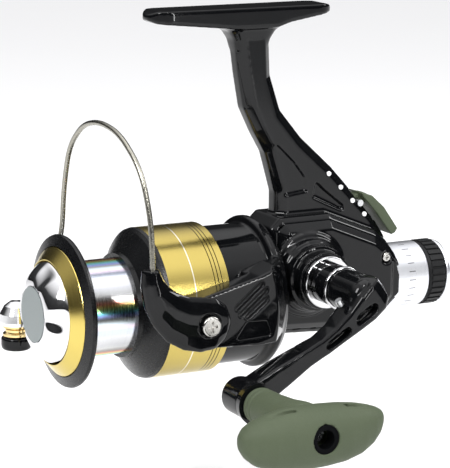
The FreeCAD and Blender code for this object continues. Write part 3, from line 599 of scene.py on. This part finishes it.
def rotor_arm(side):
    """A cast arm that narrows from the rotor's rear ring to the bail's pivot."""
    outer, reach, rise = ARM_FACE, *PIVOT[1:]
    # ahead; inner, shoulder and face x; top and bottom at the shoulder; top and bottom at the face
    sections = [
        (-8.0, 21.0, 26.0, 28.0, 17.0, -9.6, 13.0, -7.6), (0.5, 21.5, 31.2, 33.9, 16.4, -10.2, 13.4, -9.0),
        (4.2, 22.0, 33.0, 36.2, 15.4, -10.6, 12.4, -9.5), (9.8, 22.6, 33.6, outer, 13.8, -10.8, 11.0, -9.7),
        (10.8, 27.8, 33.6, outer, 13.4, -10.8, 10.6, -9.7), (21.0, 27.8, 33.6, outer, 10.4, -10.6, 7.8, -9.0),
        (reach, 27.8, 33.8, outer, 8.8, -9.6, 6.2, -7.4)]
    # the last section shrinks in steps to round off the end
    inner, shoulder, face, *last_edges = sections[-1][1:]
    for step in range(1, 5):
        angle = math.radians(18 * step)
        edges = [rise + (edge - rise) * math.cos(angle) for edge in last_edges]
        sections.append((reach + last_edges[0] * math.sin(angle), inner, shoulder, face, *edges))
    return loft([[(side * x, ahead, z) for x, z in (
        (inner, top), (shoulder, top), (face, face_top), (face, face_bottom),
        (shoulder, bottom), (inner, bottom))]
        for ahead, inner, shoulder, face, top, bottom, face_top, face_bottom in sections])


def groove_outline(start, end, width):
    """The outline of a sunk line between two (ahead, rise) points, pointed at both ends."""
    start, end = Vector(start), Vector(end)
    run = (end - start).normalized()
    square = Vector((-run.y, run.x)) * width / 2
    inset = run * width
    return [tuple(p) for p in (start, start + inset - square, end - inset - square,
                               end, end - inset + square, start + inset + square)]


# the ends of the three sunk diagonal lines on each arm, as (ahead, rise)
ARM_GROOVES = (((7.6, 12.2), (19.4, 2.6)), ((6.0, 10.0), (18.0, 0.2)), ((5.6, 6.9), (15.6, -0.9)))
GROOVE_WIDTH = 1.7
GROOVE_DEPTH = 1.3


def build_rotor():
    """The rotor with its two cast arms, their sunk faces and diagonal grooves."""
    add = [node_form("rotor"), rotor_arm(1), rotor_arm(-1)]
    sunk_face = [(14.2, -1.8), (6.6, -2.2), (4.8, -7.2), (18.6, -7.8)]
    sunk = [groove_outline(start, end, GROOVE_WIDTH) for start, end in ARM_GROOVES] + [sunk_face]
    cut = []
    for side in (1, -1):
        low, high = sorted(((ARM_FACE - GROOVE_DEPTH) * side, (ARM_FACE + 3) * side))
        cut += [block(outline, low, high) for outline in sunk]
    cut.append(rod(-THROUGH, THROUGH, SCREW_HOLE_RADIUS, (0, *PIVOT[1:]), "across", 32))
    # the rear rim is round, and both arms slope down to it
    rim_and_slope = [(-9, 25.4), (-8.2, 25.4), (-7.3, 26.3), (-6.0, 27.2), (-4.5, 28.6), (4.0, 38.9)]
    cut.append(turn(rim_and_slope + [(4.0, 48), (-9, 48)]))
    rotor = clay("rotor_casting", add, cut, voxel=0.42, soft=3, keep=0.6)
    settle(rotor, "gloss_black", "rotor", "rotor")


def horn(stations, side):
    """A crowned arm: each station has its inner and outer edge points and its back and crown x."""
    # the cross-section, as the share of the width from the inner edge and of the height from the back
    section = ((0.0, 0.35), (0.10, 0.70), (0.30, 0.93), (0.5, 1.0), (0.72, 0.88), (0.92, 0.55),
               (1.0, 0.25), (0.97, 0.0), (0.5, 0.0), (0.03, 0.0))
    loops = []
    for inner, outer, back, crown in stations:
        inner, outer = Vector(inner), Vector(outer)
        loop = []
        for share, lift in section:
            point = inner + (outer - inner) * share
            loop.append((side * (back + (crown - back) * lift), point.x, point.y))
        loops.append(loop)
    return loft(loops)


def stations_from(origin, table):
    """Stations for horn(): inner and outer edge points, and how far the back and crown are moved."""
    return [((origin[1] + inner_a, origin[2] + inner_r), (origin[1] + outer_a, origin[2] + outer_r),
             BAIL_FACE - BAIL_THICKNESS + back, BAIL_FACE + crown)
            for inner_a, inner_r, outer_a, outer_r, back, crown in table]


def build_bail_arms():
    """The two bail arms: the near one curls up to the wire, the far one reaches the line roller."""
    pivot = (0, *PIVOT[1:])
    curl = stations_from(PIVOT, (
        (-8.8, 2.6, -8.8, -2.4, 0, -1.6), (-7.4, 6.0, -7.0, -6.2, 0, -0.6), (-3.6, 8.9, -3.2, -9.2, 0, 0),
        (1.6, 9.9, 2.4, -9.8, 0, 0), (7.0, 10.6, 9.0, -8.3, 0, 0), (11.2, 12.3, 15.4, -4.6, 0, 0),
        (14.2, 14.4, 20.0, 0.9, -0.6, 0), (15.9, 17.0, 22.8, 7.4, -2.0, -0.3),
        (16.7, 19.2, 23.6, 14.2, -3.4, -1.0), (17.1, 20.6, 23.0, 20.4, -3.6, -1.8)))
    seat_depth, seat_radius = 1.1, 4.1
    screw_seat = rod(BAIL_FACE - seat_depth, THROUGH, seat_radius, pivot, "across", 48)
    cut = [rod(36, THROUGH, SCREW_HOLE_RADIUS, pivot, "across", 32), screw_seat]
    near = clay("bail_arm_near_casting", [horn(curl, 1)], cut, voxel=0.3, soft=14, keep=0.7)
    settle(near, "gloss_black", "bail", "bail_arm_near")

    reach = stations_from(PIVOT, (
        (-8.0, 2.4, -8.0, -2.2, 0, -1.6), (-6.6, 5.6, -6.4, -5.6, 0, -0.6), (-3.0, 8.2, -3.4, -8.3, 0, 0),
        (2.4, 7.9, 0.6, -9.0, 0, 0), (12.0, 2.0, 10.0, -12.0, 0, 0), (24.0, -6.6, 21.5, -16.4, 0, 0)))
    reach += stations_from(ROLLER, ((-5.6, -2.6, -7.0, -6.9, 0, -0.2), (1.4, -2.7, 1.4, -7.1, 0, -0.6)))
    socket = turn(rounded([(-7.2, 0), (-7.2, 5.0), (-6.0, 5.6), (-2.4, 5.6), (-2.4, 0)], 0.8),
                  ROLLER, "upright", 64)
    cut = [rod(-THROUGH, -36, SCREW_HOLE_RADIUS, pivot, "across", 32)]
    far = clay("bail_arm_far_casting", [horn(reach, -1), socket], cut, voxel=0.3, soft=10, keep=0.7)
    settle(far, "gloss_black", "bail", "bail_arm_far")


def build_crank():
    """The crank arm: a round hub, an elbow with two windows and a boss for the knob's spindle."""
    hub_a, hub_r = CRANK[1:]
    end_a, end_r = KNOB[1:]
    hub_centre, end_centre = (0, hub_a, hub_r), (0, end_a, end_r)
    slope = math.atan2(end_r - hub_r, end_a - hub_a)

    def beside(along, across):
        """(ahead, rise) of a point along the line from hub to knob and square to it."""
        return (hub_a + along * math.cos(slope) - across * math.sin(slope),
                hub_r + along * math.sin(slope) + across * math.cos(slope))

    hub = [(40.3, 0), (40.3, 6.8), (40.8, 7.3), (56.0, 7.3), (58.4, 5.8), (58.4, 0)]
    boss_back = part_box("knob_spindle")[0].x / MM
    boss_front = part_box("knob_collar")[0].x / MM - 0.4
    boss_radius = 6.6
    boss = [(boss_back, 0), (boss_back, boss_radius), (boss_front, boss_radius), (boss_front, 0)]
    # distance along, then the bar's inner and outer x and its lower and upper edge
    bar = ((-7.0, 50.0, 56.0, -2.0, 3.6), (-5.6, 47.6, 59.0, -4.4, 5.0), (-2.5, 46.4, 60.6, -6.0, 5.6),
           (3.0, 46.6, 60.9, -6.4, 4.6), (9.0, 49.4, 60.4, -6.0, 2.6), (17.0, 50.8, 60.0, -5.2, 1.2),
           (23.5, 50.6, 59.4, -4.9, 1.0), (26.0, 49.6, 58.8, -4.8, 1.2), (31.0, 48.4, 58.0, -4.6, 1.8),
           (40.0, 47.0, 56.9, -5.2, 3.2), (48.0, 46.6, 56.4, -5.2, 4.2), (53.0, 46.6, 56.4, -4.6, 4.6))
    loops = []
    for along, low, high, bottom, top in bar:
        middle = (top + bottom) / 2
        loops.append([((low + high) / 2 + out, *beside(along, middle + across))
                      for out, across in oval((high - low) / 2, (top - bottom) / 2, 7.0, 32)])
    add = [turn(rounded(hub, 1.2), hub_centre, "across", 64),
           turn(rounded(boss, 0.7), end_centre, "across", 64),
           loft(loops)]

    def window(corners, floor):
        """A rounded hollow in the bar's outer face, down to an x."""
        beyond = 64
        return block([beside(*corner) for corner in smooth_loop(corners, 4)], floor, beyond)

    # a hollow runs along the bar's upper face towards the knob
    hollow = block([beside(*corner) for corner in ((29.0, 1.2), (33.0, 3.0), (47.0, 8.0), (46.0, 1.6))],
                   49.0, 54.6)
    shaft_bore, spindle_bore = 3.05, 2.55
    cut = [window([(0.9, -3.4), (0.6, -0.6), (8.0, -0.2), (9.2, -3.6)], 57.0),
           window([(13.6, -3.5), (13.3, -0.9), (21.9, -0.8), (22.6, -3.3)], 56.4),
           hollow,
           rod(39, 44, shaft_bore, hub_centre, "across", 32),
           rod(45, 62, spindle_bore, end_centre, "across", 32)]
    arm = clay("crank_casting", add, cut, voxel=0.3, soft=3, keep=0.6)
    settle(arm, "black_metal", "crank", "crank_arm")


def build_knob():
    """The T-shaped rubber grip, moulded over its stalk."""
    bar_x = KNOB_FACE - GRIP_HALF_DEPTH
    # distance ahead, then the bar's top, bottom and half depth
    bar = ((-2.6, -20.0, -21.4, 1.0), (-1.9, -18.8, -24.0, 3.0), (-0.2, -17.8, -27.0, 4.8),
           (2.8, -16.8, -30.0, 6.6), (7.0, -15.8, -32.6, 7.8), (13.0, -15.0, -34.3, 8.7),
           (20.0, -14.6, -35.0, 9.1), (27.0, -14.4, -35.2, GRIP_HALF_DEPTH), (34.0, -14.8, -34.8, 8.8),
           (40.0, -16.0, -33.8, 7.9), (44.8, -17.4, -32.0, 6.4), (47.8, -18.9, -29.6, 4.6),
           (49.6, -20.8, -27.0, 2.8), (50.3, -22.4, -24.8, 1.0))
    loops = []
    for ahead, top, bottom, depth in bar:
        middle = (top + bottom) / 2
        loops.append([(bar_x + out, ahead, middle + up)
                      for out, up in oval(depth, (top - bottom) / 2, 2.3, 36)])
    neck_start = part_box("knob_collar")[1].x / MM
    neck = [(neck_start, 0), (neck_start, 6.3), (neck_start + 10, 6.5), (neck_start + 20, 7.2),
            (neck_start + 28, 8.4), (neck_start + 32, 8.6), (neck_start + 32, 0)]
    centre = (0, *KNOB[1:])
    stalk = turn(rounded(neck, 1.5), centre, "across", 64)
    # two narrow grooves round the stalk
    groove_bottom, groove_top, groove_width = 5.8, 9, 0.9
    cut = [turn([(start, groove_bottom), (start, groove_top), (start + groove_width, groove_top),
                 (start + groove_width, groove_bottom)], centre, "across", 64)
           for start in (neck_start + 2.2, neck_start + 4.6)]
    # a shallow finger slot in the top of each end
    slot_x, slot_radius = bar_x + 1.5, 1.1
    for start, end, rise in ((30.2, 43.0, -15.5), (2.6, 13.4, -16.2)):
        slot = [(start, 0), (start + 0.8, slot_radius), (end - 0.8, slot_radius), (end, 0)]
        cut.append(turn(rounded(slot, 0.4), (slot_x, 0, rise), "ahead", 24))
    seat_radius, bore_radius = 4.9, 2.7
    plug_seat = rod(neck_start + 30, 112, seat_radius, centre, "across", 48)
    spindle_bore = rod(neck_start - 2, neck_start + 34, bore_radius, centre, "across", 32)
    cut += [plug_seat, spindle_bore]
    knob = clay("grip_moulding", [loft(loops), stalk], cut, voxel=0.42, soft=4, keep=0.7)
    settle(knob, "olive_rubber", "grip", "knob")


def build_lever():
    """The bait lever's curved paddle."""
    # ahead, rise, half thickness and half width
    stations = [(-50.0, 32.2, 0.7, 3.2), (-51.8, 31.6, 1.3, 4.6), (-55.0, 29.0, 1.6, 5.1),
                (-58.8, 24.9, 1.7, 5.2), (-62.2, 20.2, 1.5, 5.0), (-63.6, 18.0, 1.0, 4.2),
                (-64.1, 17.3, 0.5, 2.8)]
    loops = []
    for index, (ahead, rise, thick, half) in enumerate(stations):
        before = stations[max(index - 1, 0)]
        after = stations[min(index + 1, len(stations) - 1)]
        run = Vector((after[0] - before[0], after[1] - before[1])).normalized()
        loops.append([(out, ahead - run.y * up, rise + run.x * up)
                      for out, up in oval(half, thick, 3.5, 28)])
    paddle = clay("lever_paddle", [loft(loops), node_form("bait_lever")], (), voxel=0.3, soft=4, keep=0.8)
    settle(paddle, "olive_plastic", "bait_switch", "bait_lever")


def build_drag_knob():
    """The plated front drag knob, a cone with five finger scallops."""
    scallops, scallop_depth, scallop_reach = 5, 2.1, 8.6
    disc_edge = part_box("drag_knob_disc")[1].x / MM
    face = -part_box("drag_knob_disc")[0].y / MM
    back, rim, rim_radius, bore = 70.9, 73.9, 17.7, 6.3

    def scallop(along, radius, angle):
        if radius < disc_edge + 0.4:
            return radius
        wave = max(0.0, math.cos(angle * scallops)) ** 1.5
        part = min(1.0, max(0.0, (radius - disc_edge) / scallop_reach))
        return radius - scallop_depth * wave * math.sin(math.pi * part) ** 0.8

    profile = [(back, bore), (back, 17.5), (71.4, 18.0), (73.2, 18.0), (rim, rim_radius)]
    steps = 11
    for step in range(1, steps + 1):
        t = step / steps
        profile.append((rim + (face - 0.3 - rim) * math.sin(t * math.pi / 2) ** 1.1,
                        rim_radius - (rim_radius - disc_edge - 0.7) * t ** 1.15))
    profile += [(face - 0.25, disc_edge + 0.35), (face - 0.45, disc_edge + 0.08),
                (face - 1.15, disc_edge + 0.06), (face - 1.2, bore)]
    knob = make_object("drag_knob_shell", [turn(profile, shape=scallop, steps=180)])
    settle(knob, "chrome_plate", "front_drag", "drag_knob", sharp=40)


# ---------------------------------------------------------------- stage

def build_stage():
    """A pale floor under the reel."""
    mesh = bpy.data.meshes.new("floor")
    form = bmesh.new()
    half_width = 4.0
    bmesh.ops.create_grid(form, x_segments=2, y_segments=2, size=half_width)
    form.to_mesh(mesh)
    form.free()
    floor = bpy.data.objects.new("floor", mesh)
    floor.location.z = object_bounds()[0].z - CRANK_SWING_ROOM
    bpy.context.scene.collection.objects.link(floor)
    s = Shader("floor", (0.9, 0.9, 0.9), roughness=0.6)
    s.color(s.mix(s.noise(s.coords(), 3, 2), (0.93, 0.93, 0.93), (0.95, 0.95, 0.95)))
    mesh.materials.append(s.material)


def area_light(name, place, width, height, power):
    """A soft rectangular light that faces the spool's axis."""
    data = bpy.data.lights.new(name, "AREA")
    data.shape = "RECTANGLE"
    data.size, data.size_y = width, height
    data.energy = power
    lamp = bpy.data.objects.new(name, data)
    lamp.location = place
    lamp.rotation_mode = "QUATERNION"
    lamp.rotation_quaternion = (spot(0, 0, 0) - Vector(place)).to_track_quat("-Z", "Y")
    lamp.visible_camera = False
    bpy.context.scene.collection.objects.link(lamp)


def build_world():
    """A studio that is bright overhead and dark round the sides, behind a plain pale backdrop."""
    world = bpy.data.worlds.new("studio")
    bpy.context.scene.world = world
    world.use_nodes = True
    tree = world.node_tree
    background = tree.nodes["Background"]
    backdrop = tree.nodes.new("ShaderNodeBackground")
    backdrop.inputs["Color"].default_value = (0.97, 0.97, 0.97, 1)
    direction = tree.nodes.new("ShaderNodeTexCoord")
    height = tree.nodes.new("ShaderNodeSeparateXYZ")
    ramp = tree.nodes.new("ShaderNodeValToRGB")
    path = tree.nodes.new("ShaderNodeLightPath")
    mix = tree.nodes.new("ShaderNodeMixShader")
    elements = ramp.color_ramp.elements
    elements.new(0.5)
    # the light from a direction by its height: 0 is level and below, and 1 is straight up
    stops = ((0.0, (0.02, 0.02, 0.021)), (0.42, (0.06, 0.061, 0.063)), (0.80, (1.5, 1.5, 1.52)))
    for element, (position, color) in zip(elements, stops):
        element.position = position
        element.color = (*color, 1)
    tree.links.new(direction.outputs["Generated"], height.inputs[0])
    tree.links.new(height.outputs[2], ramp.inputs["Fac"])
    tree.links.new(ramp.outputs["Color"], background.inputs["Color"])
    tree.links.new(path.outputs["Is Camera Ray"], mix.inputs[0])
    tree.links.new(background.outputs[0], mix.inputs[1])
    tree.links.new(backdrop.outputs[0], mix.inputs[2])
    tree.links.new(mix.outputs[0], tree.nodes["World Output"].inputs["Surface"])


def build_lights():
    """Each light's place, width and height in metres, and its power in watts."""
    area_light("key", (0.35, -0.75, 0.55), 0.3, 0.4, 7)
    area_light("top", (0.0, 0.0, 1.0), 0.7, 0.7, 2)
    area_light("strip", (0.75, -0.1, 0.55), 0.03, 0.6, 4)
    area_light("side_strip", (0.9, 0.35, 0.15), 0.03, 0.6, 2)
    area_light("rear", (0.2, 0.8, 0.45), 0.2, 0.4, 3)


def build_camera():
    """A long lens, 62 degrees round from the front towards the handle and 12 degrees above."""
    data = bpy.data.cameras.new("camera")
    data.lens = 181.0
    data.sensor_width = 36.0
    camera = bpy.data.objects.new("camera", data)
    place = (0.7319, -0.38915, 0.0903)
    right = (0.46391, 0.88585, 0.00772)
    up = (-0.18396, 0.08781, 0.97900)
    back = (0.86657, -0.45559, 0.20370)
    camera.matrix_world = Matrix.Translation(place) @ Matrix((right, up, back)).transposed().to_4x4()
    bpy.context.scene.collection.objects.link(camera)
    bpy.context.scene.camera = camera
    bpy.context.scene.view_settings.view_transform = "Standard"


finish_cad_nodes()
build_body()
build_cover()
build_rotor()
build_bail_arms()
build_crank()
build_knob()
build_lever()
build_drag_knob()
build_stage()
build_world()
build_lights()
build_camera()
